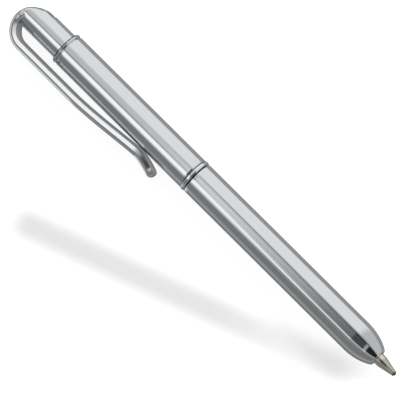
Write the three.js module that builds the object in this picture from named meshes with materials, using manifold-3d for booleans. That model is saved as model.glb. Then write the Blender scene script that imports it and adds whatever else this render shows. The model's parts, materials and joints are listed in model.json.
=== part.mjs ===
// Mini ballpoint pen with a push top: the narrow cap slides in the barrel and carries a bent strip clip.
// Units are millimetres, +Z is up. The pen lies on its barrel and on the clip's lower edge, tip towards +X.
// Each piece is first made upright, with the writing tip at height 0 and the pen's axis along Y.

import * as THREE from 'three';
import { mergeVertices } from 'three/addons/utils/BufferGeometryUtils.js';
import Module from 'manifold-3d';

const wasm = await Module();
wasm.setup();

// Clearances
const seamGap = 0.1;        // between pieces that meet at a visible seam
const fitGap = 0.05;        // radial, between a piece and the bore that holds or guides it
const seatGap = 0.3;        // axial, between a piece and the seat that it pushes on

// Facets round the axis
const outerFacets = 48;
const innerFacets = 32;
const helixStep = 0.95;     // height of one step of a helical rib or lug
const turnSteps = 12;       // steps in each turn of the spring

// Travel of the push top
const retractTravel = 4.6;  // the writing tip goes this far back into the nose
const pressTravel = 1.0;    // the cap is pushed this much further in to free the latch
const clipFlex = 3;         // degrees that the clip springs open

// Barrel
const barrelRadius = 3.45;
const noseShown = 4.6;      // length of refill tip that stands out of the nose
const partingDepth = 13.6;     // from the refill's back end down to the lower barrel's
const lowerWall = 0.5;
const noseFaceRadius = 1.8;
const noseEdgeRadius = 0.15;
const noseEdgeEnd = -25;       // degrees, where the nose's rounded edge meets its curve
const noseBore = 1.33;
const noseBoreLength = 6.5;
const noseCurveLength = 6.0;   // the curved part of the nose, back to the full barrel
const noseEllipseLength = 8.0; // half the length of the ellipse that the curve is part of
const centreBandLength = 1.1;  // from barrel to barrel, seams included
const centreRingRadius = 3.55;
const ringEdgeRadius = 0.22;
const upperWall = 0.3;
const barrelEdgeRadius = 0.12;
const collarLength = 1.0;
const collarRadius = 3.5;
const collarSkirtLength = 1.3;

// Cap and clip
const capRadius = 2.9;
const capWall = 0.45;
const capShown = 11.15;     // from the collar to the top of the bend
const capFlangeLength = 0.6;
const capCrownDepth = 1.6;  // solid metal under the middle of the bend
const bendRadius = 4.65;    // outer face of the bend at the top
const shoulderAngle = 10;   // degrees under the middle of the bend where the cap's side meets the bend's circle
const clipReach = 6.68;     // from the pen's axis to the clip's outer face
const clipThickness = 1.62;
const clipWidth = 4.4;
const clipOuterEdge = 0.55; // rounding of the strip's long edges
const clipInnerEdge = 0.2;
const clipTaperEnd = 175;   // degrees round the bend to where the strip has its own width
const clipStraight = 13.7;  // straight arm under the bend
const clipBow = 16.3;       // from the straight arm to where the clip touches the barrel
const clipContactGap = 0.25;
const clipToe = 6.1;        // from the touching point to the end
const clipToeRise = 0.95;   // how far the end flares out
const clipToeCorner = 1.9;

// Screw sleeve between the barrels
const sleeveThread = 4.5;   // inside the lower barrel
const sleeveBore = 1.4;
const sealWire = 0.5;       // thickness of the rubber ring
const springPocketDepth = 6.0;
const springShown = 1.9;    // length of spring between the sleeve and the washer

// Refill
const ballRadius = 0.36;
const socketBore = 0.4;
const socketLip = 0.26;
const socketDepth = 0.62;
const socketOuter = 0.5;
const tipConeHeight = 3.6;
const tipRadius = 1.2;
const tipHeadLength = 6.9;
const tipStemLength = 4.6;
const tipChannel = 0.18;
const refillRadius = 1.175;
const refillWall = 0.175;
const refillLength = 67;
const airLength = 7.7;      // empty tube behind the grease plug
const followerLength = 1.8;

// Refill holder, spring and washer
const holderGrip = 2.7;     // length of refill that the holder grips
const holderRadius = 1.9;
const holderFlangeRadius = 2.25;
const holderFlangeLength = 0.6;
const holderBackLength = 2.8;
const holderChamfer = 0.4;
const spigotRadius = 0.8;
const spigotLength = 4.4;
const washerThickness = 0.3;
const springWire = 0.35;
const springRadius = 1.8;
const springTurns = 7;

// Click parts
const camRadius = 1.7;
const camLength = 4.7;
const camToothCount = 8;
const camToothDepth = 0.35;
const toothTip = 0.15;      // share of each tooth that stays flat
const lugCount = 4;
const lugRadius = 2.3;
const lugAngle = 24;        // degrees
const lugLength = 2.8;
const lugSetback = 0.7;     // from the top of the cam down to its lugs
const grooveSlack = 4;      // degrees on each side of a lug
const camStep = 45;         // degrees that the cam turns for each push
const toothSlope = 0.012;   // rise of the lug faces for each degree
const ribLength = 5.2;
const housingBack = 0.4;    // plain tube behind the guide ribs
const housingFront = 4.6;   // plain tube in front of the guide ribs
const rodRadius = 1.45;
const insertWall = 0.6;
const insertLength = 5.0;

// Heights above the writing tip
const noseFace = noseShown;
const lowerTop = refillLength - partingDepth;
const upperBase = lowerTop + centreBandLength;
const lowerBore = barrelRadius - lowerWall;
const upperBore = barrelRadius - upperWall;

// Refill holder and click parts, stacked from the refill's end
const holderBase = refillLength - holderGrip;
const holderBack = refillLength + seatGap;
const holderTop = holderBack + holderBackLength;
const camBase = holderTop + seatGap;
const camTop = camBase + camLength;
const lugTop = camTop - lugSetback;
const ribBase = lugTop + seatGap;
const housingBase = ribBase - housingFront;
const housingTop = ribBase + ribLength + housingBack;
const rodBase = camTop + seatGap;
const inkLength = refillLength - tipHeadLength - tipStemLength - followerLength - airLength;
const camLead = THREE.MathUtils.degToRad(camStep) / retractTravel;

// The cap's foot clears the housing when pressed, and its flange meets the collar's skirt when drawn out
const capFoot = housingTop + pressTravel + seatGap;
const skirtBase = capFoot + capFlangeLength + retractTravel + seatGap;
const upperTop = skirtBase + collarSkirtLength;
const collarTop = upperTop + collarLength;
const penLength = collarTop + capShown;

// The spring's front is in a pocket of the sleeve, and its back pushes on the holder's washer
const washerBase = holderBase - seamGap - washerThickness;
const sleeveTop = washerBase - springShown;
const springSeat = sleeveTop - springPocketDepth;

// The bend is tangent to the clip's outer face, and its circle also shapes the cap's domed top
const bendInner = bendRadius - clipThickness;
const bendMiddle = bendRadius - clipThickness / 2;
const bendOffset = clipReach - bendRadius;
const bendHeight = penLength - bendRadius;
const capBoreTop = bendHeight - capCrownDepth;

// The strip leaves the cap's domed top where its outer face is over the pen's axis
const footAngle = THREE.MathUtils.radToDeg(Math.acos(bendOffset / bendRadius));
const footSlack = THREE.MathUtils.radToDeg(seamGap / bendMiddle);

const yAxis = new THREE.Vector3(0, 1, 0);

// Finishes
function metal(color, roughness) {
  return new THREE.MeshStandardMaterial({ color, roughness, metalness: 1 });
}

function plastic(color, roughness) {
  return new THREE.MeshStandardMaterial({ color, roughness, metalness: 0 });
}

const nickel = metal(0xc3c6c9, 0.22);
const brightNickel = metal(0xd3d6d8, 0.14);
const springSteel = metal(0xa8abae, 0.3);
const brass = metal(0xc9a660, 0.35);
const tipMetal = metal(0xc8bda0, 0.28);
const whitePlastic = plastic(0xe9e9e4, 0.45);
const blackPlastic = plastic(0x24262a, 0.5);
const rubber = plastic(0x18181a, 0.8);
const ink = plastic(0x10132c, 0.6);

// A closed solid of revolution about Y, from [radius, height] corners in either direction
function turned(corners, facets = innerFacets) {
  const points = corners.map(([radius, height]) => new THREE.Vector2(radius, height));
  const onAxis = points[0].x === 0 && points[points.length - 1].x === 0;
  if (THREE.ShapeUtils.area(points) < 0) points.reverse();
  if (!onAxis) points.push(points[0].clone());
  return new THREE.LatheGeometry(points, facets);
}

// A plain tube
function tube(inner, outer, low, high, facets = innerFacets) {
  return turned([[inner, low], [outer, low], [outer, high], [inner, high]], facets);
}

// Points of a quarter round from one angle to another, in degrees
function arcCorners(radius, height, size, from, to, steps = 3) {
  const corners = [];
  for (let step = 0; step <= steps; step++) {
    const angle = THREE.MathUtils.degToRad(from + (to - from) * step / steps);
    corners.push([radius + size * Math.cos(angle), height + size * Math.sin(angle)]);
  }
  return corners;
}

// Geometry to boolean solid and back
function toSolid(geometry) {
  const plain = geometry.clone();
  plain.deleteAttribute('normal');
  plain.deleteAttribute('uv');
  const merged = mergeVertices(plain, 1e-5);
  const corners = merged.index.array;
  const kept = [];
  for (let i = 0; i < corners.length; i += 3) {
    const [a, b, c] = [corners[i], corners[i + 1], corners[i + 2]];
    if (a !== b && b !== c && c !== a) kept.push(a, b, c);
  }
  return new wasm.Manifold(new wasm.Mesh({
    numProp: 3,
    vertProperties: new Float32Array(merged.attributes.position.array),
    triVerts: new Uint32Array(kept),
  }));
}

function toGeometry(solid) {
  const mesh = solid.getMesh();
  const geometry = new THREE.BufferGeometry();
  const positions = new Float32Array(mesh.vertProperties);
  geometry.setAttribute('position', new THREE.BufferAttribute(positions, mesh.numProp));
  geometry.setIndex(new THREE.BufferAttribute(new Uint32Array(mesh.triVerts), 1));
  geometry.computeVertexNormals();
  return geometry;
}

// A wedge of a ring, upright, whose ends slope and whose sides follow the cam's helix
function helixWedge(inner, outer, halfAngle, low, high, turn) {
  const half = THREE.MathUtils.degToRad(halfAngle);
  const shape = new THREE.Shape();
  shape.absarc(0, 0, outer, -half, half, false);
  shape.absarc(0, 0, inner, half, -half, true);
  const depth = high - low;
  const steps = Math.ceil(depth / helixStep);
  const geometry = new THREE.ExtrudeGeometry(shape, { depth, steps, bevelEnabled: false, curveSegments: 4 });
  geometry.rotateX(-Math.PI / 2);
  const place = geometry.attributes.position;
  const point = new THREE.Vector3();
  for (let i = 0; i < place.count; i++) {
    point.fromBufferAttribute(place, i);
    const across = THREE.MathUtils.radToDeg(Math.atan2(point.z, point.x));
    point.y += low + toothSlope * across;
    point.applyAxisAngle(yAxis, turn + camLead * (point.y - lugTop));
    place.setXYZ(i, point.x, point.y, point.z);
  }
  return geometry;
}

// V-shaped notches that leave a crown of teeth on the end of a tube, begun outside its end face
function crownNotches(radius, height, depth, count) {
  const halfWidth = Math.PI * radius / count * (1 - toothTip);
  const shape = new THREE.Shape();
  shape.moveTo(-halfWidth * 1.5, -depth / 2);
  shape.lineTo(halfWidth * 1.5, -depth / 2);
  shape.lineTo(0, depth);
  shape.closePath();
  const notches = [];
  for (let i = 0; i < count; i++) {
    const notch = new THREE.ExtrudeGeometry(shape, { depth: radius * 2, bevelEnabled: false });
    notch.rotateY(2 * Math.PI * i / count);
    notch.translate(0, height, 0);
    notches.push(toSolid(notch));
  }
  return notches;
}

// Lower barrel with its curved nose
function lowerBarrel() {
  const drop = barrelRadius - noseFaceRadius;
  const fullness = 1 - Math.sqrt(1 - (noseCurveLength / noseEllipseLength) ** 2);
  const ellipseHalfWidth = drop / fullness;
  const curveTop = noseFace + noseCurveLength;
  const corners = [[noseBore, noseFace]];
  corners.push(...arcCorners(noseFaceRadius - noseEdgeRadius, noseFace + noseEdgeRadius, noseEdgeRadius, -90, noseEdgeEnd));
  const steps = 9;
  for (let step = 1; step <= steps; step++) {
    const back = noseCurveLength * (1 - step / steps);
    const fall = 1 - Math.sqrt(1 - (back / noseEllipseLength) ** 2);
    corners.push([barrelRadius - ellipseHalfWidth * fall, curveTop - back]);
  }
  corners.push(...arcCorners(barrelRadius - barrelEdgeRadius, lowerTop - barrelEdgeRadius, barrelEdgeRadius, 0, 90));
  corners.push([lowerBore, lowerTop]);
  corners.push([lowerBore, noseFace + noseBoreLength + lowerBore - noseBore]);
  corners.push([noseBore, noseFace + noseBoreLength]);
  return turned(corners, outerFacets);
}

// Ring that turns between the two barrels
function centreRing() {
  const low = lowerTop + seamGap;
  const high = upperBase - seamGap;
  const bore = lowerBore + fitGap;
  const edge = centreRingRadius - ringEdgeRadius;
  return turned([
    [bore, low],
    ...arcCorners(edge, low + ringEdgeRadius, ringEdgeRadius, -90, 0),
    ...arcCorners(edge, high - ringEdgeRadius, ringEdgeRadius, 0, 90),
    [bore, high],
  ], outerFacets);
}

// Threaded sleeve: the lower barrel screws on its front, its back is pressed into the upper barrel
function screwSleeve() {
  const low = lowerTop - sleeveThread;
  const threadRadius = lowerBore - fitGap;
  const sealSeat = threadRadius - sealWire;
  const pocket = springRadius + springWire / 2 + 2 * fitGap;
  return turned([
    [sleeveBore, low],
    [threadRadius, low],
    [threadRadius, lowerTop - sealWire - fitGap],
    [sealSeat, lowerTop - sealWire - fitGap],
    [sealSeat, lowerTop + fitGap],
    [threadRadius, lowerTop + fitGap],
    [threadRadius, upperBase + seamGap],
    [upperBore - fitGap, upperBase + seamGap],
    [upperBore - fitGap, sleeveTop],
    [pocket, sleeveTop],
    [pocket, springSeat],
    [sleeveBore, springSeat],
  ]);
}

// Rubber ring in the sleeve's groove, which keeps the screw joint from working loose
function sealRing() {
  const radius = lowerBore - fitGap - sealWire / 2;
  const height = lowerTop - sealWire / 2;
  const section = arcCorners(radius, height, sealWire / 2 - fitGap / 2, 0, 315, 7);
  return turned(section);
}

function upperBarrel() {
  const edge = barrelRadius - barrelEdgeRadius;
  return turned([
    [upperBore, upperBase],
    ...arcCorners(edge, upperBase + barrelEdgeRadius, barrelEdgeRadius, -90, 0),
    ...arcCorners(edge, upperTop - barrelEdgeRadius, barrelEdgeRadius, 0, 90),
    [upperBore, upperTop],
  ], outerFacets);
}

// Rounded collar at the barrel's mouth, with a skirt pressed into the bore
function mouthCollar() {
  const bore = capRadius + fitGap;
  const skirt = upperBore - fitGap;
  const low = upperTop + seamGap;
  const bead = (collarTop - low) / 2;
  return turned([
    [bore, skirtBase],
    [skirt, skirtBase],
    [skirt, low],
    ...arcCorners(collarRadius - bead, low + bead, bead, -90, 90, 8),
    [bore, collarTop],
  ], outerFacets);
}

// Sector of a ring round the middle of the bend, flat in X and Y and thick in Z
function bendSector(inner, outer, startAngle, endAngle, halfDepth) {
  const shape = new THREE.Shape();
  const from = THREE.MathUtils.degToRad(startAngle);
  const to = THREE.MathUtils.degToRad(endAngle);
  shape.absarc(-bendOffset, bendHeight, outer, from, to, false);
  shape.absarc(-bendOffset, bendHeight, inner, to, from, true);
  const geometry = new THREE.ExtrudeGeometry(shape, { depth: 2 * halfDepth, bevelEnabled: false, curveSegments: 32 });
  return geometry.translate(0, 0, -halfDepth);
}

// Sliding cap: a tube whose top is a dome that follows the bend, cut away where the clip's strip leaves it
function plungerCap() {
  const bore = capRadius - capWall;
  const flange = upperBore - fitGap;
  const body = turned([
    [0, capBoreTop],
    [bore, capBoreTop],
    [bore, capFoot],
    [flange, capFoot],
    [flange, capFoot + capFlangeLength],
    [capRadius, capFoot + capFlangeLength],
    [capRadius, penLength],
    [0, penLength],
  ], outerFacets);
  const rim = capRadius - clipOuterEdge;
  const crown = bendRadius - clipOuterEdge;
  const dome = turned([
    [0, -capRadius],
    ...arcCorners(crown, -rim, clipOuterEdge, -90, 0),
    ...arcCorners(crown, rim, clipOuterEdge, 0, 90),
    [0, capRadius],
  ], outerFacets + innerFacets);
  dome.rotateX(Math.PI / 2);
  dome.translate(-bendOffset, bendHeight, 0);
  const shoulder = bendHeight - bendRadius * Math.sin(THREE.MathUtils.degToRad(shoulderAngle));
  const lower = new THREE.BoxGeometry(4 * capRadius, penLength, 4 * capRadius);
  lower.translate(0, shoulder - penLength / 2, 0);
  const room = bendSector(bendInner - seamGap, 2 * bendRadius, footAngle, 180, 2 * capRadius);
  const whole = toSolid(dome).add(toSolid(lower));
  return toGeometry(toSolid(body).intersect(whole).subtract(toSolid(room)));
}

// Middle line of the clip's strip, from its foot on the cap over the bend and down to the toe
function clipLine() {
  const arm = -bendOffset - bendMiddle;
  const touch = -(barrelRadius + clipContactGap + clipThickness / 2);
  const bowTop = bendHeight - clipStraight;
  const touchHeight = bowTop - clipBow;
  const line = new THREE.CurvePath();
  const start = THREE.MathUtils.degToRad(footAngle + footSlack);
  line.add(new THREE.EllipseCurve(-bendOffset, bendHeight, bendMiddle, bendMiddle, start, Math.PI));
  line.add(new THREE.LineCurve(new THREE.Vector2(arm, bendHeight), new THREE.Vector2(arm, bowTop)));
  line.add(new THREE.CubicBezierCurve(
    new THREE.Vector2(arm, bowTop),
    new THREE.Vector2(arm, bowTop - clipBow * 0.42),
    new THREE.Vector2(touch, touchHeight + clipBow * 0.13),
    new THREE.Vector2(touch, touchHeight)));
  line.add(new THREE.CubicBezierCurve(
    new THREE.Vector2(touch, touchHeight),
    new THREE.Vector2(touch, touchHeight - clipToe * 0.24),
    new THREE.Vector2(touch - clipToeRise * 0.39, touchHeight - clipToe * 0.54),
    new THREE.Vector2(touch - clipToeRise, touchHeight - clipToe)));
  return line;
}

// Half the strip's width: as wide as the cap where it leaves it, narrower along the arm
function clipHalfWidth(x, y) {
  const angle = y < bendHeight ? Math.PI + Math.atan((bendHeight - y) / bendMiddle) : Math.acos((x + bendOffset) / bendMiddle);
  const share = (THREE.MathUtils.radToDeg(angle) - footAngle) / (clipTaperEnd - footAngle);
  return THREE.MathUtils.lerp(capRadius, clipWidth / 2, THREE.MathUtils.smoothstep(share, 0, 1));
}

// Rounded rectangle of the strip's section, as [across the width, through the thickness]
function stripSection(halfWidth, halfThickness) {
  const corners = [];
  for (const [signX, signY, from] of [[1, 1, 0], [-1, 1, 90], [-1, -1, 180], [1, -1, 270]]) {
    const edge = signY > 0 ? clipOuterEdge : clipInnerEdge;
    const size = Math.min(edge, halfThickness * 0.9, halfWidth * 0.9);
    corners.push(...arcCorners(signX * (halfWidth - size), signY * (halfThickness - size), size, from, from + 90, 2));
  }
  return corners;
}

// The strip, lofted along its middle line, with a rounded toe
function clip() {
  const line = clipLine();
  const length = line.getLength();
  const stations = [];
  const spacing = 0.95;
  const plainCount = Math.ceil((length - clipToeCorner) / spacing);
  for (let i = 0; i <= plainCount; i++) {
    stations.push((length - clipToeCorner) * i / plainCount);
  }
  const toeSteps = 6;
  for (let i = 1; i <= toeSteps; i++) {
    stations.push(length - clipToeCorner * (1 - Math.sin(Math.PI / 2 * i / (toeSteps + 0.35))));
  }
  const positions = [];
  const indices = [];
  for (const station of stations) {
    const share = station / length;
    const middle = line.getPointAt(share);
    const along = line.getTangentAt(share);
    const endShare = THREE.MathUtils.clamp((station - length + clipToeCorner) / clipToeCorner, 0, 1);
    const roundness = Math.sqrt(1 - endShare ** 2);
    const halfWidth = clipHalfWidth(middle.x, middle.y) - clipToeCorner * (1 - roundness);
    const toeShare = THREE.MathUtils.clamp((station - length + clipThickness / 2) / (clipThickness / 2), 0, 1);
    const halfThickness = clipThickness / 2 * Math.sqrt(1 - toeShare ** 2);
    for (const [across, through] of stripSection(halfWidth, halfThickness)) {
      positions.push(middle.x + along.y * through, middle.y - along.x * through, across);
    }
  }
  const around = positions.length / 3 / stations.length;
  for (let i = 0; i + 1 < stations.length; i++) {
    for (let j = 0; j < around; j++) {
      const a = i * around + j;
      const b = i * around + (j + 1) % around;
      indices.push(a, b, a + around, b, b + around, a + around);
    }
  }
  const last = (stations.length - 1) * around;
  for (let j = 1; j + 1 < around; j++) {
    indices.push(0, j + 1, j);
    indices.push(last, last + j, last + j + 1);
  }
  const geometry = new THREE.BufferGeometry();
  geometry.setAttribute('position', new THREE.Float32BufferAttribute(positions, 3));
  geometry.setAttribute('normal', new THREE.Float32BufferAttribute(positions, 3));
  geometry.setAttribute('uv', new THREE.Float32BufferAttribute(new Float32Array(positions.length / 3 * 2), 2));
  geometry.setIndex(indices);
  return toGeometry(toSolid(geometry));
}

// Brass insert that holds the push rod in the cap
function capInsert() {
  const outer = capRadius - capWall - fitGap;
  return tube(outer - insertWall, outer, capBoreTop - seatGap - insertLength, capBoreTop - seatGap);
}

// Push rod with a crown of teeth that turns the cam
function pushRod() {
  const head = capRadius - capWall - 2 * fitGap - insertWall;
  const headLow = capBoreTop - seatGap - insertLength - seatGap;
  const body = turned([
    [0, rodBase + camToothDepth * 2],
    [rodRadius * 0.55, rodBase + camToothDepth * 2],
    [rodRadius * 0.55, rodBase],
    [rodRadius, rodBase],
    [rodRadius, headLow],
    [head, headLow],
    [head, capBoreTop - seatGap],
    [0, capBoreTop - seatGap],
  ]);
  let solid = toSolid(body);
  for (const notch of crownNotches(rodRadius, rodBase, camToothDepth, camToothCount)) {
    solid = solid.subtract(notch);
  }
  return toGeometry(solid);
}

// Fixed housing of the click parts: a tube with helical guide ribs inside
function clickHousing() {
  const outer = upperBore - fitGap;
  const inner = lugRadius + 2 * fitGap;
  const ribInner = camRadius + 2 * fitGap;
  const grooveHalf = lugAngle / 2 + grooveSlack;
  const ribHalf = 180 / lugCount - grooveHalf;
  let solid = toSolid(tube(inner, outer, housingBase, housingTop));
  for (let i = 0; i < lugCount; i++) {
    const turn = 2 * Math.PI * (i + 0.5) / lugCount;
    solid = solid.add(toSolid(helixWedge(ribInner, (inner + outer) / 2, ribHalf, ribBase, ribBase + ribLength, turn)));
  }
  return toGeometry(solid);
}

// Turning cam: a hub with sloping lugs that run in the housing's grooves, and teeth on its back
function indexCam() {
  const bore = spigotRadius + fitGap;
  let solid = toSolid(tube(bore, camRadius, camBase, camTop));
  for (let i = 0; i < lugCount; i++) {
    const turn = 2 * Math.PI * i / lugCount;
    const lug = helixWedge((bore + camRadius) / 2, lugRadius, lugAngle / 2, lugTop - lugLength, lugTop, turn);
    solid = solid.add(toSolid(lug));
  }
  for (const notch of crownNotches(camRadius, camTop, camToothDepth, camToothCount)) {
    solid = solid.subtract(notch.mirror([0, 1, 0]).translate([0, 2 * camTop, 0]));
  }
  return toGeometry(solid);
}

// Holder that grips the refill's end, takes the spring's push and carries the cam on a spigot
function refillHolder() {
  const bore = refillRadius + fitGap;
  return turned([
    [bore, holderBase],
    [holderFlangeRadius, holderBase],
    [holderFlangeRadius, holderBase + holderFlangeLength],
    [holderRadius, holderBase + holderFlangeLength],
    [holderRadius, holderTop - holderChamfer],
    [holderRadius - holderChamfer, holderTop],
    [spigotRadius, holderTop],
    [spigotRadius, holderTop + spigotLength],
    [0, holderTop + spigotLength],
    [0, holderBack],
    [bore, holderBack],
  ]);
}

function springWasher() {
  return tube(refillRadius + 2 * fitGap, holderFlangeRadius, washerBase, washerBase + washerThickness);
}

// Helix of the return spring's wire
class SpringLine extends THREE.Curve {
  constructor(radius, low, high, turns) {
    super();
    this.radius = radius;
    this.low = low;
    this.high = high;
    this.turns = turns;
  }

  getPoint(share, target = new THREE.Vector3()) {
    const angle = 2 * Math.PI * this.turns * share;
    const height = THREE.MathUtils.lerp(this.low, this.high, share);
    return target.set(this.radius * Math.cos(angle), height, this.radius * Math.sin(angle));
  }
}

function returnSpring() {
  const low = springSeat + seamGap + springWire / 2;
  const high = washerBase - seamGap - springWire / 2;
  const section = new THREE.Shape();
  section.absarc(0, 0, springWire / 2, 0, 2 * Math.PI, false);
  return new THREE.ExtrudeGeometry(section, {
    extrudePath: new SpringLine(springRadius, low, high, springTurns),
    steps: springTurns * turnSteps,
    curveSegments: 3,
    bevelEnabled: false,
  });
}

// Refill: tip with its ball socket, tube, ink and the grease plug behind the ink
function refillTip() {
  const stem = refillRadius - refillWall - fitGap;
  return turned([
    [socketBore, socketLip],
    [socketOuter, socketLip],
    [tipRadius, tipConeHeight],
    [tipRadius, tipHeadLength],
    [stem, tipHeadLength],
    [stem, tipHeadLength + tipStemLength],
    [tipChannel, tipHeadLength + tipStemLength],
    [tipChannel, socketLip + socketDepth],
    [socketBore, socketLip + socketDepth],
  ]);
}

function writingBall() {
  return new THREE.SphereGeometry(ballRadius, 20, 12).translate(0, ballRadius, 0);
}

function refillTube() {
  return tube(refillRadius - refillWall, refillRadius, tipHeadLength + seamGap, refillLength);
}

function inkColumn() {
  const low = tipHeadLength + tipStemLength + seamGap;
  const radius = refillRadius - refillWall - fitGap;
  return turned([[0, low], [radius, low], [radius, low + inkLength], [0, low + inkLength]]);
}

function inkFollower() {
  const low = tipHeadLength + tipStemLength + 2 * seamGap + inkLength;
  const radius = refillRadius - refillWall - fitGap;
  return turned([[0, low], [radius, low], [radius, low + followerLength], [0, low + followerLength]]);
}

const pieces = [
  ['lower_barrel', lowerBarrel(), nickel],
  ['centre_ring', centreRing(), brightNickel],
  ['screw_sleeve', screwSleeve(), brass],
  ['seal_ring', sealRing(), rubber],
  ['upper_barrel', upperBarrel(), nickel],
  ['mouth_collar', mouthCollar(), brightNickel],
  ['plunger_cap', plungerCap(), nickel],
  ['clip', clip(), nickel],
  ['cap_insert', capInsert(), brass],
  ['push_rod', pushRod(), whitePlastic],
  ['click_housing', clickHousing(), blackPlastic],
  ['index_cam', indexCam(), whitePlastic],
  ['refill_holder', refillHolder(), whitePlastic],
  ['spring_washer', springWasher(), springSteel],
  ['return_spring', returnSpring(), springSteel],
  ['refill_tube', refillTube(), brass],
  ['refill_tip', refillTip(), tipMetal],
  ['writing_ball', writingBall(), springSteel],
  ['ink_column', inkColumn(), ink],
  ['ink_follower', inkFollower(), whitePlastic],
];

const pen = new THREE.Group();
for (const [name, geometry, material] of pieces) {
  const mesh = new THREE.Mesh(geometry, material);
  mesh.name = name;
  pen.add(mesh);
}

// Rolled until the ring and the clip's lower edge both touch the table, then laid down, tip towards +X
const edgeReach = clipReach - clipOuterEdge;
const edgeSide = clipWidth / 2 - clipOuterEdge;
const restHeight = centreRingRadius - clipOuterEdge;
const roll = Math.asin(restHeight / Math.hypot(edgeReach, edgeSide)) - Math.atan2(edgeSide, edgeReach);
pen.rotation.y = -roll;
const lying = new THREE.Group();
lying.rotation.z = Math.PI / 2;
lying.add(pen);

// Origin on the table, under the middle of the pen's box
const model = new THREE.Group();
model.add(lying);
model.updateMatrixWorld(true);
const box = new THREE.Box3().setFromObject(model, true);
lying.position.set(-(box.min.x + box.max.x) / 2, -(box.min.y + box.max.y) / 2, -box.min.z);
model.updateMatrixWorld(true);

export default model;
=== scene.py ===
"""Mini ballpoint pen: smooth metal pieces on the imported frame, lit like the photograph."""
import json
import math

import bmesh
import bpy
from mathutils import Matrix, Vector


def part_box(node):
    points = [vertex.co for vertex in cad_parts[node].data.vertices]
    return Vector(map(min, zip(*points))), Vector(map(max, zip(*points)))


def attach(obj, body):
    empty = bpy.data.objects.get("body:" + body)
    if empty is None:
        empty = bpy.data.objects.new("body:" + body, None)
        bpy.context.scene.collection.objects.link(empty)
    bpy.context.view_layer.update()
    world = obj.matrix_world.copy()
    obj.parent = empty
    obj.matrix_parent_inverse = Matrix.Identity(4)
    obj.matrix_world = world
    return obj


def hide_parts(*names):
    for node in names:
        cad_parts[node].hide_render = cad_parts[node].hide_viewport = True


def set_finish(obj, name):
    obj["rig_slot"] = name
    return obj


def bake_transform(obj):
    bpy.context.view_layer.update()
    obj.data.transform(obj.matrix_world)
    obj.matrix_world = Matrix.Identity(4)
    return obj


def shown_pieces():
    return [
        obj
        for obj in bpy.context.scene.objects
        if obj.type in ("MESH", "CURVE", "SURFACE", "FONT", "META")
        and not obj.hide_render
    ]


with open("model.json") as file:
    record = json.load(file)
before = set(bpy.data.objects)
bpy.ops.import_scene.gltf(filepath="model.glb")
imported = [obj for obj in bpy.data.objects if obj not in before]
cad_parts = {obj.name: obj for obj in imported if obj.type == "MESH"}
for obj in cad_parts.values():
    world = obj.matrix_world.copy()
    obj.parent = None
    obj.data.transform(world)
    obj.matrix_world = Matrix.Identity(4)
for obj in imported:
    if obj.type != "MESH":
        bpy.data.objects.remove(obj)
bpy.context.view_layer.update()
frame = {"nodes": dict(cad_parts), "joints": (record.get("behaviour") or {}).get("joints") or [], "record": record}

# Millimetres, with height measured from the writing tip along the pen
MM = 0.001
seam = 0.1
fit = 0.05

# Meshes: distances that count as one point or one ring, and steps round the axis
weld = 0.0005
fine_weld = 0.0001
ring_match = 0.002
round_steps = 160
cap_round_steps = 192
small_round_steps = 96

# A ring this many roundings away from a rounded edge keeps the edge's shading close to it
support = 3

# Roundings of small edges
hair_edge = 0.03
fine_edge = 0.05
small_edge = 0.1
soft_edge = 0.12

# Barrel
barrel_radius = 3.45
nose_base = 4.6
nose_face_radius = 1.8
nose_edge = 0.15
nose_edge_end = -25
nose_bore = 1.33
nose_bore_length = 6.5
nose_curve = 6.0
nose_ellipse = 8.0
lower_wall = 0.5
lower_top = 53.4
upper_base = 54.5
upper_top = 88.4
upper_wall = 0.3
barrel_edge = 0.12
lower_edge = 0.22
ring_radius = 3.55
ring_edge = 0.22
collar_radius = 3.5
collar_top = 89.4
collar_gap = 1.8 * seam
skirt_base = 87.1

# Screw joint
thread_length = 4.5
thread_pitch = 0.75
thread_depth = 0.18
thread_turns = 4
thread_turn_steps = 64
thread_half_foot = 0.42 * thread_pitch
thread_half_crest = 0.06
thread_sunk = 0.05
thread_start = 0.15
relief_length = 0.45
land_length = 0.35
sleeve_bore = 1.4
sleeve_top = 62.0
pocket_radius = 2.075
pocket_depth = 6.0
seal_wire = 0.5
seal_sides = 16

# Cap and clip
cap_radius = 2.9
cap_wall = 0.45
cap_foot = 81.6
cap_flange = 0.6
pen_length = 100.55
crown_depth = 1.6
bend_radius = 4.65
shoulder_angle = 10.0
shoulder_slope = 1.3
shoulder_margin = 0.2
shoulder_rounding = 0.2
dome_edge = 0.85
clip_reach = 6.68
clip_thickness = 1.62
clip_width = 4.4
inner_edge = 0.05
edge_hold = 0.04
side_depth = 0.82
root_depth = 0.55
root_width = 4.8
root_pace = 2.5
side_draft = 0.08
chamfer_depth = 0.21
chamfer_reach = 0.12
chamfer_growth = 0.8
lip_rise = 0.01
crown_reach = 1.0
crown_across = 0.4
crown_through = 0.74
clip_taper_end = 175.0
clip_straight = 13.7
clip_bow = 17.3
clip_gap = 0.3
clip_toe = 5.25
clip_toe_rise = 1.25
clip_narrowing = 0.5
clip_narrowing_length = 6.6
clip_toe_corner = 2.0
toe_corner_share = 0.7

# Where the inner control points of the clip's curves lie, as shares of the curve
bow_leave = 0.36
bow_arrive = 0.13
toe_leave = 0.24
toe_arrive = 0.54
toe_arrive_rise = 0.39

# Spring and refill holder
spring_wire = 0.35
spring_radius = 1.8
spring_turns = 7
spring_turn_steps = 48
washer_base = 63.9
holder_base = 64.3
holder_bore = 1.225
holder_back = 67.3
holder_top = 70.1
holder_radius = 1.9
holder_flange = 2.25
flange_length = 0.6
holder_chamfer = 0.5
spigot_radius = 0.8
spigot_top = 74.5

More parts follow.
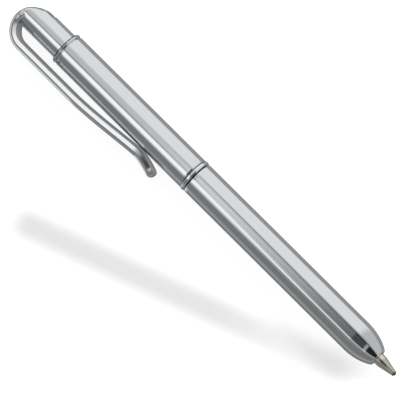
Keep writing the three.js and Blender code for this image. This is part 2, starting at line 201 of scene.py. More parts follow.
# Refill tip
ball_radius = 0.36
ball_lip = 0.26
socket_radius = 0.5
tip_cone = 3.6
tip_radius = 1.2
tip_head = 6.9
tip_tail = 4.6
tip_tail_radius = 0.95
tip_channel = 0.18
channel_base = 1.0
socket_depth = 0.9
ball_play = 0.02
lip_depth = 0.12
lip_grip = 0.98

# Finishes: tones as shares of a colour, scales of the grain, and the dark bands at seams, painted as shade and
# dirt
metal_tones = (0.97, 1.02)
plastic_tones = (0.94, 1.0)
brush_scale = 9000.0
tone_scale = 180.0
shade_and_dirt_core = 0.4
shade_and_dirt_color = (0.03, 0.03, 0.035, 1.0)

# Picture: light of the studio and the table, place of the table's painted shadow, and distance of the camera
room_level = 0.2
parting_lean = -0.161
brightest = 2.0
light_tint = (0.985, 1.0, 1.012)
paper_color = (0.4, 0.4, 0.4, 1.0)
paper_glow = (0.88, 0.88, 0.88, 1.0)
shade_glow = (0.51, 0.51, 0.51, 1.0)
shade_place = (-0.01364, -0.02492, 0.0)
shade_turn = 19.94
view_distance = 0.845

# The bend is tangent to the clip's outer face, and its circle also shapes the cap's domed top
bend_inner = bend_radius - clip_thickness
bend_middle = bend_radius - clip_thickness / 2
bend_offset = clip_reach - bend_radius
bend_height = pen_length - bend_radius
foot_angle = math.degrees(math.acos(bend_offset / bend_radius))
strip_start = foot_angle + math.degrees(0.5 * seam / bend_middle)


def columns(x, y, z):
    """The matrix with these three vectors as its columns."""
    return Matrix((x, y, z)).transposed()


# The pen's own axes: x away from the clip, y across the strip, z up the pen from the writing tip
joints = {joint["name"]: joint for joint in frame["joints"]}
across = Vector(joints["clip_spring"]["axis"]).normalized()
upwards = Vector((-1.0, 0.0, 0.0))
away = across.cross(upwards)
pen_axes = columns(away, across, upwards)
axis_point = joints["barrel_unscrew"]["pos_m"]
tip_point = Vector((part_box("writing_ball")[1].x, axis_point[1], axis_point[2]))
pen_place = Matrix.Translation(tip_point) @ pen_axes.to_4x4() @ Matrix.Scale(MM, 4)


def add_object(name, data):
    """A new object in the scene."""
    obj = bpy.data.objects.new(name, data)
    bpy.context.scene.collection.objects.link(obj)
    return obj


def finish_piece(name, bm, body, slot_name, nodes, crease=35.0):
    """Welds and places a mesh, shades it smooth up to its creases, and ties it to its body, if any."""
    bmesh.ops.remove_doubles(bm, verts=bm.verts, dist=weld)
    bmesh.ops.recalc_face_normals(bm, faces=bm.faces)
    for face in bm.faces:
        face.smooth = True
    for edge in bm.edges:
        edge.smooth = not edge.is_manifold or edge.calc_face_angle(0.0) < math.radians(crease)
    mesh = bpy.data.meshes.new(name)
    bm.to_mesh(mesh)
    bm.free()
    mesh.transform(pen_place)
    obj = add_object(name, mesh)
    if body:
        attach(obj, body)
    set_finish(obj, slot_name)
    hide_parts(*nodes)
    return obj


def lathe(corners, steps=round_steps):
    """Spins a closed outline of (radius, height, rounding) about the pen's axis, then rounds its rings."""
    bm = bmesh.new()
    verts = [bm.verts.new((radius, 0.0, height)) for radius, height, rounding in corners]
    edges = [bm.edges.new((verts[i - 1], verts[i])) for i in range(len(verts))]
    bmesh.ops.spin(
        bm,
        geom=verts + edges,
        cent=(0, 0, 0),
        axis=(0, 0, 1),
        angle=2 * math.pi,
        steps=steps,
        use_merge=True,
    )
    bmesh.ops.remove_doubles(bm, verts=bm.verts, dist=fine_weld)
    thin = [edge for edge in bm.edges if edge.calc_length() < fine_weld]
    bmesh.ops.dissolve_degenerate(bm, edges=thin, dist=fine_weld)
    for rounding in sorted({corner[2] for corner in corners if corner[2] > 0}):
        wanted = [(radius, height) for radius, height, size in corners if size == rounding]
        rings = []
        for edge in bm.edges:
            ends = [(math.hypot(v.co.x, v.co.y), v.co.z) for v in edge.verts]
            for radius, height in wanted:
                if all(abs(r - radius) < ring_match and abs(h - height) < ring_match for r, h in ends):
                    rings.append(edge)
        bmesh.ops.bevel(
            bm,
            geom=rings,
            offset=rounding,
            offset_type="OFFSET",
            segments=4,
            profile=0.5,
            affect="EDGES",
            material=-1,
        )
    return bm


def arc(radius, height, size, start, end, steps):
    """Outline points along part of a circle, in degrees."""
    points = []
    for i in range(steps + 1):
        angle = math.radians(start + (end - start) * i / steps)
        points.append((radius + size * math.cos(angle), height + size * math.sin(angle), 0))
    return points


def nose_outline():
    """The nose from its flat face to the full barrel: a small rounded edge, then part of an ellipse."""
    drop = barrel_radius - nose_face_radius
    half_width = drop / (1 - math.sqrt(1 - (nose_curve / nose_ellipse) ** 2))
    points = arc(nose_face_radius - nose_edge, nose_base + nose_edge, nose_edge, -90, nose_edge_end, 6)
    steps = 40
    for i in range(1, steps + 1):
        back = nose_curve * (1 - i / steps)
        fall = 1 - math.sqrt(1 - (back / nose_ellipse) ** 2)
        points.append((barrel_radius - half_width * fall, nose_base + nose_curve - back, 0))
    return points


def lower_barrel():
    bore = barrel_radius - lower_wall
    outline = [(nose_bore, nose_base, 0)]
    outline += nose_outline()
    outline += [
        (barrel_radius, lower_top - support * lower_edge, 0),
        (barrel_radius, lower_top, lower_edge),
        (bore, lower_top, 0),
        (bore, nose_base + nose_bore_length + bore - nose_bore, 0),
        (nose_bore, nose_base + nose_bore_length, 0),
    ]
    bm = lathe(outline)
    finish_piece("barrel_lower", bm, "front_barrel", "nickel", ["lower_barrel"])


def centre_ring():
    bore = barrel_radius - lower_wall + fit
    low = lower_top + 2 * seam
    high = upper_base - seam
    edge = ring_radius - ring_edge
    outline = [(bore, low, 0)]
    outline += arc(edge, low + ring_edge, ring_edge, -90, 0, 8)
    outline += arc(edge, high - ring_edge, ring_edge, 0, 90, 8)
    outline += [(bore, high, 0)]
    finish_piece("ring_centre", lathe(outline), "turning_ring", "bright_nickel", ["centre_ring"])


def upper_barrel():
    bore = barrel_radius - upper_wall
    outline = [
        (bore, upper_base, 0),
        (barrel_radius, upper_base, barrel_edge),
        (barrel_radius, upper_base + support * barrel_edge, 0),
        (barrel_radius, upper_top - support * barrel_edge, 0),
        (barrel_radius, upper_top, barrel_edge),
        (bore, upper_top, 0),
    ]
    finish_piece("barrel_upper", lathe(outline), "barrel", "nickel", ["upper_barrel"])


def mouth_collar():
    bore = cap_radius + fit
    skirt = barrel_radius - upper_wall - fit
    low = upper_top + collar_gap
    bead = (collar_top - low) / 2
    outline = [(bore, skirt_base, 0), (skirt, skirt_base, 0), (skirt, low, 0)]
    outline += arc(collar_radius - bead, low + bead, bead, -90, 90, 16)
    outline += [(bore, collar_top, 0)]
    finish_piece("collar_mouth", lathe(outline), "barrel", "bright_nickel", ["mouth_collar"])


def screw_sleeve():
    """The brass sleeve, with a cut thread in front of the seal groove."""
    low = lower_top - thread_length
    thread = barrel_radius - lower_wall - fit
    core = thread - thread_depth
    seat = thread - seal_wire
    back = barrel_radius - upper_wall - fit
    outline = [
        (sleeve_bore, low, small_edge),
        (core, low, soft_edge),
        (core, lower_top - seal_wire - relief_length, 0),
        (thread, lower_top - seal_wire - land_length, 0),
        (thread, lower_top - seal_wire - fit, hair_edge),
        (seat, lower_top - seal_wire - fit, 0),
        (seat, lower_top + fit, 0),
        (thread, lower_top + fit, hair_edge),
        (thread, upper_base + seam, 0),
        (back, upper_base + seam, fine_edge),
        (back, sleeve_top, small_edge),
        (pocket_radius, sleeve_top, fine_edge),
        (pocket_radius, sleeve_top - pocket_depth, 0),
        (sleeve_bore, sleeve_top - pocket_depth, 0),
    ]
    bm = lathe(outline, small_round_steps)
    start = low + thread_half_foot + thread_start
    ridge = [
        bm.verts.new((core - thread_sunk, 0.0, start - thread_half_foot)),
        bm.verts.new((thread, 0.0, start - thread_half_crest)),
        bm.verts.new((thread, 0.0, start + thread_half_crest)),
        bm.verts.new((core - thread_sunk, 0.0, start + thread_half_foot)),
    ]
    profile = bm.faces.new(ridge)
    steps = thread_turn_steps * thread_turns
    bmesh.ops.spin(
        bm,
        geom=[profile] + list(profile.edges) + ridge,
        cent=(0, 0, 0),
        axis=(0, 0, 1),
        dvec=(0, 0, thread_pitch * thread_turns / steps),
        angle=2 * math.pi * thread_turns,
        steps=steps,
        use_merge=False,
    )
    finish_piece("sleeve_screw", bm, "barrel", "brass", ["screw_sleeve"])


def seal_ring():
    centre = barrel_radius - lower_wall - fit - seal_wire / 2
    last = 360 - 360 / seal_sides
    outline = arc(centre, lower_top - seal_wire / 2, seal_wire / 2 - fit / 2, 0, last, seal_sides - 1)
    finish_piece("ring_seal", lathe(outline, small_round_steps), "barrel", "rubber", ["seal_ring"])


def return_spring():
    """The coil spring, which stretches and closes between the sleeve's pocket and the holder's washer."""
    low = sleeve_top - pocket_depth + seam + spring_wire / 2
    high = washer_base - seam - spring_wire / 2
    steps = spring_turn_steps * spring_turns
    bm = bmesh.new()
    bmesh.ops.create_circle(bm, cap_ends=True, segments=12, radius=spring_wire / 2)
    bmesh.ops.rotate(bm, verts=bm.verts, cent=(0, 0, 0), matrix=Matrix.Rotation(math.radians(90), 3, "X"))
    bmesh.ops.translate(bm, verts=bm.verts, vec=(spring_radius, 0, low))
    bmesh.ops.spin(
        bm,
        geom=list(bm.faces) + list(bm.edges) + list(bm.verts),
        cent=(0, 0, 0),
        axis=(0, 0, 1),
        dvec=(0, 0, (high - low) / steps),
        angle=2 * math.pi * spring_turns,
        steps=steps,
        use_merge=False,
    )
    spring = finish_piece("spring_return", bm, None, "spring_steel", ["return_spring"], 50.0)
    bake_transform(spring)


def refill_holder():
    """The plastic holder on the refill's end, with a chamfer that clears the guide ribs when drawn in."""
    outline = [
        (holder_bore, holder_base, 0),
        (holder_flange, holder_base, fine_edge),
        (holder_flange, holder_base + flange_length, fine_edge),
        (holder_radius, holder_base + flange_length, 0),
        (holder_radius, holder_top - holder_chamfer, 0),
        (holder_radius - holder_chamfer, holder_top, 0),
        (spigot_radius, holder_top, 0),
        (spigot_radius, spigot_top, small_edge),
        (0.0, spigot_top, 0),
        (0.0, holder_back, 0),
        (holder_bore, holder_back, 0),
    ]
    bm = lathe(outline, small_round_steps)
    finish_piece("holder_refill", bm, "refill", "white_plastic", ["refill_holder"])


def dome(x):
    """Height of the cap's domed top at a distance x from the axis, away from the clip."""
    reach = x + bend_offset
    if reach > bend_radius:
        sunk = bend_radius * math.sin(math.radians(shoulder_angle))
        return bend_height - sunk - (reach - bend_radius) * shoulder_slope
    return bend_height + math.sqrt(bend_radius ** 2 - reach ** 2)


def foot(x):
    """Height of the slanted face that the strip leaves from, and of the room under the bend."""
    reach = x + bend_offset
    room = bend_inner - seam
    if reach > room * math.cos(math.radians(foot_angle)):
        return bend_height + reach * math.tan(math.radians(foot_angle))
    return bend_height + math.sqrt(room ** 2 - reach ** 2)


def plunger_cap():
    """The sliding cap: a tube with a domed top that follows the bend, slanted where the strip leaves it."""
    bore = cap_radius - cap_wall
    flange = barrel_radius - upper_wall - fit
    crown = bend_height - crown_depth
    shoulder = bend_radius - bend_offset
    outline = [
        (0.0, crown, 0),
        (bore, crown, 0),
        (bore, cap_foot, 0),
        (flange, cap_foot, fine_edge),
        (flange, cap_foot + cap_flange, fine_edge),
        (cap_radius, cap_foot + cap_flange, 0),
        (cap_radius, crown, 0),
    ]
    edge_rings = 12
    inner_rings = 40
    turns = [math.radians(90 * i / edge_rings) for i in range(edge_rings)]
    rings = [cap_radius - dome_edge * (1 - math.cos(turn)) for turn in turns]
    rings += [(cap_radius - dome_edge) * (1 - i / inner_rings) for i in range(inner_rings + 1)]
    outline += [(radius, pen_length, 0) for radius in rings]
    bm = lathe(outline, cap_round_steps)
    near_top = pen_length - 0.001
    # The flat top is cut across where it will bend: on the slanted foot, at the axis and at the shoulder
    root = (bend_inner - seam) * math.cos(math.radians(foot_angle)) - bend_offset
    cuts = [root, -0.4, -0.2, 0.0] + [shoulder + past for past in (-0.1, -0.03, -0.005, 0.005)]
    for x in cuts:
        top = [face for face in bm.faces if face.calc_center_median().z > near_top]
        around = {edge for face in top for edge in face.edges}
        points = {vert for face in top for vert in face.verts}
        bmesh.ops.bisect_plane(
            bm,
            geom=top + list(around) + list(points),
            plane_co=(x, 0, 0),
            plane_no=(1, 0, 0),
            dist=weld,
        )
    for vert in bm.verts:
        if vert.co.z > near_top:
            depth = max(math.hypot(vert.co.x, vert.co.y) - cap_radius + dome_edge, 0.0)
            drop = dome_edge - math.sqrt(max(dome_edge ** 2 - depth ** 2, 0.0))
            share = 1.0 if vert.co.x < shoulder - shoulder_margin else shoulder_rounding
            vert.co.z = min(dome(vert.co.x) - drop * share, foot(vert.co.x))
    finish_piece("cap_push", bm, "push_cap", "nickel", ["plunger_cap"], 30.0)


def bezier(points, share):
    """A point and a direction on a cubic curve."""
    a, b, c, d = [Vector(point) for point in points]
    rest = 1 - share
    place = a * rest ** 3 + b * (3 * rest ** 2 * share) + c * (3 * rest * share ** 2) + d * share ** 3
    along = (b - a) * (3 * rest ** 2) + (c - b) * (6 * rest * share) + (d - c) * (3 * share ** 2)
    return place, along.normalized()


def clip_line():
    """Samples of the strip's middle line as (distance, place, direction), from the cap to its toe."""
    arm = -bend_offset - bend_middle
    touch = -(barrel_radius + clip_gap + clip_thickness / 2)
    bow_top = bend_height - clip_straight
    touch_height = bow_top - clip_bow
    bow = [
        (arm, bow_top),
        (arm, bow_top - clip_bow * bow_leave),
        (touch, touch_height + clip_bow * bow_arrive),
        (touch, touch_height),
    ]
    toe = [
        (touch, touch_height),
        (touch, touch_height - clip_toe * toe_leave),
        (touch - clip_toe_rise * toe_arrive_rise, touch_height - clip_toe * toe_arrive),
        (touch - clip_toe_rise, touch_height - clip_toe),
    ]
    samples = []
    count = 200
    for i in range(count):
        angle = math.radians(strip_start + (180 - strip_start) * i / count)
        x = -bend_offset + bend_middle * math.cos(angle)
        z = bend_height + bend_middle * math.sin(angle)
        samples.append((Vector((x, z)), Vector((-math.sin(angle), math.cos(angle)))))
    count = 20
    for i in range(count):
        samples.append((Vector((arm, bend_height - clip_straight * i / count)), Vector((0, -1))))
    for points, steps in ((bow, 160), (toe, 80)):
        for i in range(steps):
            samples.append(bezier(points, i / steps))
    samples.append(bezier(toe, 1.0))
    line = []
    distance = 0.0
    for i, (place, along) in enumerate(samples):
        if i > 0:
            distance += (place - samples[i - 1][0]).length
        line.append((distance, place, along))
    return line


def on_line(line, distance):
    """The place and direction at a distance along the middle line."""
    for i in range(1, len(line)):
        if line[i][0] >= distance:
            span = line[i][0] - line[i - 1][0]
            share = (distance - line[i - 1][0]) / span
            place = line[i - 1][1].lerp(line[i][1], share)
            along = line[i - 1][2].lerp(line[i][2], share).normalized()
            return place, along
    return line[-1][1], line[-1][2]


def clamp(share):
    return min(max(share, 0.0), 1.0)


def smoothstep(share):
    share = clamp(share)
    return share * share * (3 - 2 * share)


def strip_taper(place):
    """0 where the strip leaves the cap, 1 where it has its own width."""
    if place.y < bend_height:
        return 1.0
    angle = math.degrees(math.acos(min(max((place.x + bend_offset) / bend_middle, -1.0), 1.0)))
    return smoothstep((angle - foot_angle) / (clip_taper_end - foot_angle))


def past_root(taper):
    """0 where the strip leaves the cap, 1 where root_pace times the taper has reached 1."""
    return smoothstep(root_pace * taper)


def strip_section(half_width, half_lip, half_thickness, taper, chamfer):
    """Half of the strip's outline as (across, through), inside first: side, chamfer, crowned face."""
    scale = half_thickness / (clip_thickness / 2)
    size = inner_edge * scale
    hold = edge_hold * scale
    depth = root_depth + (side_depth - root_depth) * past_root(taper)
    draft = side_draft * depth / side_depth
    corner = arc(half_width + draft - size, -half_thickness + size, size, -90, 0, 4)
    points = [(side, through) for side, through, rounding in corner]
    low = -half_thickness + depth * scale
    slope = draft / (depth * scale - size)
    points.append((half_width + draft - slope * hold, -half_thickness + size + hold))
    points.append((half_width + slope * hold, low - hold))
    points.append((half_width, low))
    points.append((half_lip, low + lip_rise * scale))
    low += chamfer * scale
    half_lip -= chamfer_reach
    points.append((half_lip, low))
    reach = dome_edge - chamfer_reach + (crown_reach - dome_edge) * taper
    high = half_thickness - low
    steps = 10
    for i in range(1, steps + 1):
        share = i / steps
        across_share = 2 * crown_across * share * (1 - share) + share ** 2
        through_share = 2 * crown_through * share * (1 - share) + share ** 2
        points.append((half_lip - reach * across_share, low + high * through_share))
    return points


def clip():
    """The strip, lofted along its line, with a rounded toe."""
    line = clip_line()
    length = line[-1][0]
    corner_start = length - clip_toe_corner
    steps = 240
    stations = [corner_start * i / steps for i in range(steps + 1)]
    # The last station stops just short of the end, where the section would shrink to a line
    toe_steps = 16
    short = 0.2
    for i in range(1, toe_steps + 1):
        turn = math.pi / 2 * i / (toe_steps + short)
        stations.append(length - clip_toe_corner * (1 - math.sin(turn)))
    section = strip_section(clip_width / 2, root_width / 2, clip_thickness / 2, 0.0, chamfer_depth)
    half_count = len(section)
    around = 2 * half_count
    bend_end = math.radians(180 - strip_start) * bend_middle + clip_straight
    bm = bmesh.new()
    bmesh.ops.create_grid(bm, x_segments=len(stations) - 1, y_segments=around, size=1.0)
    for vert in bm.verts:
        row = round((vert.co.x + 1) / 2 * (len(stations) - 1))
        column = round((vert.co.y + 1) / 2 * around) % around
        station = stations[row]
        place, along = on_line(line, station)
        taper = strip_taper(place)
        end = clamp((station - corner_start) / clip_toe_corner)
        towards_toe = smoothstep((station - bend_end) / (length - bend_end))
        flare = clamp((station - length) / clip_narrowing_length + 1)
        rounding = clip_toe_corner * toe_corner_share * (1 - math.sqrt(1 - end ** 2))
        narrowing = 1 - (rounding + clip_narrowing * flare ** 2) / (clip_width / 2)
        half_width = (clip_width - side_draft) / 2
        half_lip = (root_width + (clip_width - root_width) * past_root(taper)) / 2
        toe = clamp((station - length + clip_thickness / 2) / (clip_thickness / 2))
        half_thickness = clip_thickness / 2 * math.sqrt(1 - toe ** 2)
        chamfer = chamfer_depth * (1 + chamfer_growth * towards_toe)
        section = strip_section(half_width, half_lip, half_thickness, taper, chamfer)
        if column < half_count:
            side, through = section[column]
        else:
            side, through = section[2 * half_count - 1 - column]
            side = -side
        vert.co = (place.x + along.y * through, side * narrowing, place.y - along.x * through)
    bmesh.ops.remove_doubles(bm, verts=bm.verts, dist=weld)
    ends = [edge for edge in bm.edges if edge.is_boundary]
    bmesh.ops.holes_fill(bm, edges=ends, sides=0)
    finish_piece("clip_strip", bm, "clip_arm", "nickel", ["clip"], 50.0)


def refill_tip():
    outline = [
        (tip_channel, channel_base, 0),
        (ball_radius + ball_play, socket_depth, 0),
        (ball_radius + ball_play, ball_lip + lip_depth, 0),
        (ball_radius * lip_grip, ball_lip, 0),
        (socket_radius, ball_lip, fine_edge),
        (tip_radius, tip_cone, soft_edge),
        (tip_radius, tip_head, fine_edge),
        (tip_tail_radius, tip_head, 0),
        (tip_tail_radius, tip_head + tip_tail, small_edge),
        (tip_channel, tip_head + tip_tail, 0),
    ]
    finish_piece("tip_refill", lathe(outline, small_round_steps), "refill", "tip_metal", ["refill_tip"])


def writing_ball():
    bm = bmesh.new()
    bmesh.ops.create_icosphere(bm, subdivisions=4, radius=ball_radius)
    bmesh.ops.translate(bm, verts=bm.verts, vec=(0, 0, ball_radius))
    finish_piece("ball_writing", bm, "ball", "spring_steel", ["writing_ball"])


lower_barrel()
centre_ring()
upper_barrel()
mouth_collar()
screw_sleeve()
seal_ring()
return_spring()
refill_holder()
plunger_cap()
clip()
refill_tip()
writing_ball()


class Sock:
    """A node socket that adds Math nodes when it is used in an expression."""

    def __init__(self, tree, socket):
        self.tree = tree
        self.socket = socket

    def math(self, operation, *others):
        node = self.tree.nodes.new("ShaderNodeMath")
        node.operation = operation
        for i, value in enumerate((self,) + others):
            if isinstance(value, Sock):
                self.tree.links.new(value.socket, node.inputs[i])
            else:
                node.inputs[i].default_value = value
        return Sock(self.tree, node.outputs[0])

    def swapped(self, operation, other):
        node = self.tree.nodes.new("ShaderNodeMath")
        node.operation = operation
        node.inputs[0].default_value = other
        self.tree.links.new(self.socket, node.inputs[1])
        return Sock(self.tree, node.outputs[0])

    def __add__(self, other):
        return self.math("ADD", other)

    def __radd__(self, other):
        return self.math("ADD", other)

    def __sub__(self, other):
        return self.math("SUBTRACT", other)

    def __rsub__(self, other):
        return self.swapped("SUBTRACT", other)

    def __mul__(self, other):
        return self.math("MULTIPLY", other)

    def __rmul__(self, other):
        return self.math("MULTIPLY", other)


class Graph:
    """The nodes of one material or world."""

    def __init__(self, tree):
        self.tree = tree
        tree.nodes.clear()

    def node(self, kind, settings=None, **values):
        """Adds a node: its settings first, then values or links of its sockets, by name or _number."""
        node = self.tree.nodes.new(kind)
        for name, value in (settings or {}).items():
            setattr(node, name, value)
        for name, value in values.items():
            which = int(name[1:]) if name[0] == "_" else name.replace("_", " ")
            socket = node.inputs[which]
            if isinstance(value, Sock):
                self.tree.links.new(value.socket, socket)
            else:
                socket.default_value = value
        return node

    def out(self, node, name=0):
        return Sock(self.tree, node.outputs[name])


def ramp(graph, value, start, end, kind="SMOOTHSTEP"):
    """Rises from 0 at start to 1 at end."""
    node = graph.node(
        "ShaderNodeMapRange",
        {"interpolation_type": kind},
        Value=value,
        From_Min=start,
        From_Max=end,
        To_Min=0.0,
        To_Max=1.0,
    )
    return graph.out(node)


def panel(graph, angle, low, high, soft, level):
    """A panel between two angles, with edges this soft and this level of light."""
    rise = ramp(graph, angle, low - soft, low + soft)
    fall = ramp(graph, angle, high - soft, high + soft)
    return (rise - fall) * level


def mixed(graph, share, first, second):
    """A colour between two others."""
    node = graph.node("ShaderNodeMix", {"data_type": "RGBA"}, _0=share, _6=first, _7=second)
    return graph.out(node, 2)


def tone(color, share):
    """A lighter or darker colour, with its alpha."""
    return tuple(min(part * share, 1.0) for part in color) + (1.0,)


def start_material(name):
    """A new material and the graph of its nodes."""
    material = bpy.data.materials.new(name)
    material.use_nodes = True
    return material, Graph(material.node_tree)


def metal(name, color, roughness, brushing, along=(0.02, 1.0, 1.0), marks=0.0, seam_shade_and_dirt=()):
    """A metal with fine brushing, a slow change of tone and seams darkened as painted shade and dirt, on Object
    coordinates.
    """
    material, graph = start_material(name)
    place = graph.node("ShaderNodeTexCoord")
    lined = graph.node("ShaderNodeMapping", Vector=graph.out(place, "Object"), Scale=along)
    grain = graph.node("ShaderNodeTexNoise", Vector=graph.out(lined), Scale=brush_scale, Detail=2.0)
    slow = graph.node("ShaderNodeTexNoise", Vector=graph.out(place, "Object"), Scale=tone_scale, Detail=2.0)
    rough = roughness + (graph.out(grain) - 0.5) * brushing + (graph.out(slow) - 0.5) * marks
    dark, bright = [tone(color, share) for share in metal_tones]
    tint = mixed(graph, graph.out(slow), dark, bright)
    along_pen = graph.out(graph.node("ShaderNodeSeparateXYZ", Vector=graph.out(place, "Object")))
    # Painted shade: a dark band round each listed height along the pen, where a seam would lie in shade
    for height, width in seam_shade_and_dirt:
        from_seam = (along_pen - (tip_point.x - height * MM)).math("ABSOLUTE")
        shade_and_dirt_share = 1 - ramp(graph, from_seam, shade_and_dirt_core * width * MM, width * MM)
        tint = mixed(graph, shade_and_dirt_share, tint, shade_and_dirt_color)
    shader = graph.node("ShaderNodeBsdfPrincipled", Base_Color=tint, Metallic=1.0, Roughness=rough)
    graph.node("ShaderNodeOutputMaterial", Surface=graph.out(shader))
    return material


def plain(name, color, roughness, grain_scale, grain_depth):
    """Moulded plastic, rubber or paste: one colour with a fine surface grain."""
    material, graph = start_material(name)
    place = graph.node("ShaderNodeTexCoord")
    grain = graph.node(
        "ShaderNodeTexNoise",
        Vector=graph.out(place, "Object"),
        Scale=grain_scale,
        Detail=3.0,
    )
    dark, bright = [tone(color, share) for share in plastic_tones]
    tint = mixed(graph, graph.out(grain), dark, bright)
    rough = roughness + (graph.out(grain) - 0.5) * grain_depth
    shader = graph.node("ShaderNodeBsdfPrincipled", Base_Color=tint, Metallic=0.0, Roughness=rough)
    graph.node("ShaderNodeOutputMaterial", Surface=graph.out(shader))
    return material


finishes = {
    "nickel": metal("satin nickel", (0.83, 0.84, 0.85), 0.08, 0.03, marks=0.02),
    # The collar's top edge gets a painted dark line, standing in for the shade and dark reflection where it meets
    # the cap
    "bright_nickel": metal("polished nickel", (0.88, 0.89, 0.9), 0.06, 0.02, seam_shade_and_dirt=[(collar_top, 0.42)]),
    # The brass gets painted shade in the seams on both sides of the centre ring
    "brass": metal(
        "turned brass",
        (0.78, 0.6, 0.32),
        0.3,
        0.08,
        along=(1.0, 0.1, 0.1),
        seam_shade_and_dirt=[(lower_top + seam, 0.6), (upper_base, 0.6)],
    ),
    "refill_brass": metal("drawn brass", (0.8, 0.64, 0.36), 0.28, 0.08),
    # The nickel silver is darkened round the ball at the writing tip
    "tip_metal": metal("nickel silver", (0.8, 0.76, 0.64), 0.14, 0.04, seam_shade_and_dirt=[(0.0, 0.7)]),
    "spring_steel": metal("drawn spring wire", (0.5, 0.5, 0.5), 0.25, 0.04),
    "white_plastic": plain("white plastic", (0.88, 0.88, 0.85), 0.42, 2200.0, 0.08),
    "black_plastic": plain("black plastic", (0.02, 0.021, 0.023), 0.45, 2200.0, 0.08),
    "rubber": plain("black rubber", (0.015, 0.015, 0.016), 0.75, 2600.0, 0.12),
    "ink": plain("ink paste", (0.01, 0.013, 0.05), 0.4, 900.0, 0.1),
}
slots = {part["node"]: part["material_slot"] for part in frame["record"]["subparts"]}
for name, node in frame["nodes"].items():
    node.data.materials.clear()
    node.data.materials.append(finishes[slots[name]])
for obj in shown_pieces():
    if "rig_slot" in obj:
        obj.data.materials.clear()
        obj.data.materials.append(finishes[obj["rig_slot"]])

# Studio: soft panels that run along the pen, which the metal mirrors as bands.
# An angle is measured round the pen's axis: 0 where the strip's near side faces, more away from the clip.
# A lean is how much of a direction runs along the pen, positive towards the tip.
world = bpy.data.worlds.new("studio")
bpy.context.scene.world = world
world.use_nodes = True
graph = Graph(world.node_tree)
look = graph.node("ShaderNodeTexCoord")
parts = graph.node("ShaderNodeSeparateXYZ", Vector=graph.out(look, "Generated"))
roll = math.degrees(math.atan2(away.z, away.y))
angle = graph.out(parts, "Y").math("ARCTAN2", graph.out(parts, "Z")) * math.degrees(1) + roll
lean = graph.out(parts, "X")

front = ramp(graph, lean, parting_lean - 0.003, parting_lean)
right_box = panel(graph, angle, 32.0, 111.7, 8.0, 0.64) * (1 - ramp(graph, lean, -0.11, 0.12) * 0.45)
right_card = panel(graph, angle, 109.7, 164.7, 12.0, 0.13)
steep = ramp(graph, lean, -0.42, -0.28)
fade = 1 - ramp(graph, lean, -0.152, -0.106)
strip_top = panel(graph, angle, -36.0, -12.0, 3.5, 0.85) * (1 - front) * (0.45 + steep * 0.55)
strip_front = panel(graph, angle, -33.0, -14.0, 4.5, 0.92) * front * fade
nose_end = ramp(graph, lean, -0.135, -0.105)
side_light = panel(graph, angle, -46.0, -33.0, 5.0, 0.36) * (1 - ramp(graph, lean, -0.155, -0.12) * 0.8)
side_line = panel(graph, angle, -34.0, -26.0, 2.5, 0.75) * ramp(graph, lean, -0.148, -0.118)
side_line = side_line * (1 - ramp(graph, lean, -0.108, -0.09) * 0.45)
valley = panel(graph, angle, -21.0, -2.0, 5.0, 0.13) * ramp(graph, lean, -0.15, -0.115) * (1 - nose_end)
dark_line = panel(graph, angle, 20.0, 26.0, 2.0, 0.13) * ramp(graph, lean, -0.157, -0.13)
tip_lean = ramp(graph, lean, 0.44, 0.48)
nose_band = (ramp(graph, lean, 0.34, 0.38) - tip_lean) * 0.3
nose_dark = panel(graph, angle, -33.0, 22.0, 4.0, 1.0) * (nose_end * 0.13 + tip_lean * 0.05 - nose_band)
clip_lean = 1 - ramp(graph, lean, -0.18, -0.168)
clip_dark = panel(graph, angle, -178.0, -153.0, 5.0, 0.15) * clip_lean
clip_light = panel(graph, angle, -150.0, -98.0, 6.0, 0.4) * clip_lean
left_card = panel(graph, angle, -118.0, -90.0, 6.0, 0.13)
overhead_top = panel(graph, angle, -4.0, 32.0, 5.0, 0.36) * (1 - front)
overhead_front = panel(graph, angle, -14.0, 24.0, 5.0, 0.66) * front
overhead_front = overhead_front * (1 - ramp(graph, lean, -0.157, -0.103, "LINEAR"))
light = right_box + right_card + strip_top + strip_front + side_light + side_line + left_card + clip_light
light = light + overhead_top + overhead_front - nose_dark - clip_dark - valley - dark_line + room_level
black = (0.0, 0.0, 0.0, 1.0)
white = tuple(share * brightest for share in light_tint) + (1.0,)
glow_color = mixed(graph, light * (1 / brightest), black, white)
glow = graph.node("ShaderNodeBackground", Color=glow_color, Strength=1.0)
backdrop = graph.node("ShaderNodeBackground", Color=(1.0, 1.0, 1.0, 1.0), Strength=1.0)
ray = graph.node("ShaderNodeLightPath")
seen = graph.node(
    "ShaderNodeMixShader",
    _0=graph.out(ray, "Is Camera Ray"),
    _1=graph.out(glow),
    _2=graph.out(backdrop),
)
graph.node("ShaderNodeOutputWorld", Surface=graph.out(seen))
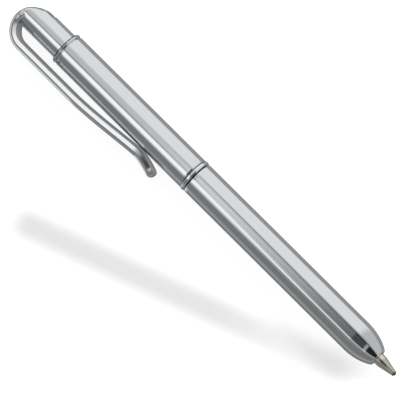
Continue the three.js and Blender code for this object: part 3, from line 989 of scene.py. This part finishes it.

# Table: white paper with a glow of its own, which the metal doesn't mirror, and a soft shadow painted along the
# pen
bm = bmesh.new()
bmesh.ops.create_grid(bm, x_segments=2, y_segments=2, size=2.0)
mesh = bpy.data.meshes.new("table")
bm.to_mesh(mesh)
bm.free()
table = add_object("table", mesh)
table.visible_glossy = False
surface, graph = start_material("white table")
place = graph.node("ShaderNodeTexCoord")
turned = graph.node(
    "ShaderNodeMapping",
    {"vector_type": "TEXTURE"},
    Vector=graph.out(place, "Object"),
    Location=shade_place,
    Rotation=(0.0, 0.0, math.radians(shade_turn)),
    Scale=(MM, MM, MM),
)
spot = graph.node("ShaderNodeSeparateXYZ", Vector=graph.out(turned))
# Painted shadow: the table's own glow is dimmed in a soft band along the pen, in place of a cast shadow
along_shade = graph.out(spot, "X")
shade = 1 - ramp(graph, graph.out(spot, "Y").math("ABSOLUTE"), 0.5, 5.2)
shade = shade * ramp(graph, along_shade, -12.5, -6.5) * (1 - ramp(graph, along_shade, 57.0, 66.0))
shade = shade * (1 - ramp(graph, along_shade, 30.0, 50.0) * 0.3)
paper = graph.node("ShaderNodeBsdfDiffuse", Color=paper_color)
shine = graph.node("ShaderNodeEmission", Color=mixed(graph, shade, paper_glow, shade_glow), Strength=1.0)
both = graph.node("ShaderNodeAddShader", _0=graph.out(paper), _1=graph.out(shine))
graph.node("ShaderNodeOutputMaterial", Surface=graph.out(both))
mesh.materials.append(surface)

# Key light from the upper right of the picture, which throws the soft shadow to the lower left
lamp = bpy.data.lights.new("key", "AREA")
lamp.shape = "RECTANGLE"
lamp.size = 0.18
lamp.size_y = 0.1
lamp.energy = 1.0
key = add_object("key", lamp)
key.location = (0.12, 0.32, 0.3)
key.rotation_mode = "QUATERNION"
key.rotation_quaternion = (-Vector(key.location)).to_track_quat("-Z", "Y")
key.visible_glossy = False
key.visible_camera = False

# Camera: a long lens almost above the pen, rolled so that the pen runs down to the right
camera_data = bpy.data.cameras.new("camera")
camera_data.sensor_width = 36
camera_data.lens = 398.5357
camera_data.clip_start = 0.01
camera_data.clip_end = 10
camera = add_object("camera", camera_data)
view_back = (pen_axes @ Vector((0.1386, -0.9780, -0.1560))).normalized()
view_right = pen_axes @ Vector((0.68226, 0.20851, -0.70075))
view_right = (view_right - view_back * view_right.dot(view_back)).normalized()
view_up = view_back.cross(view_right)
view_target = pen_place @ Vector((-2.990, 2.901, 50.503))
view_axes = columns(view_right, view_up, view_back)
camera.matrix_world = Matrix.Translation(view_target + view_back * view_distance) @ view_axes.to_4x4()
bpy.context.scene.camera = camera
bpy.context.scene.view_settings.view_transform = "Standard"
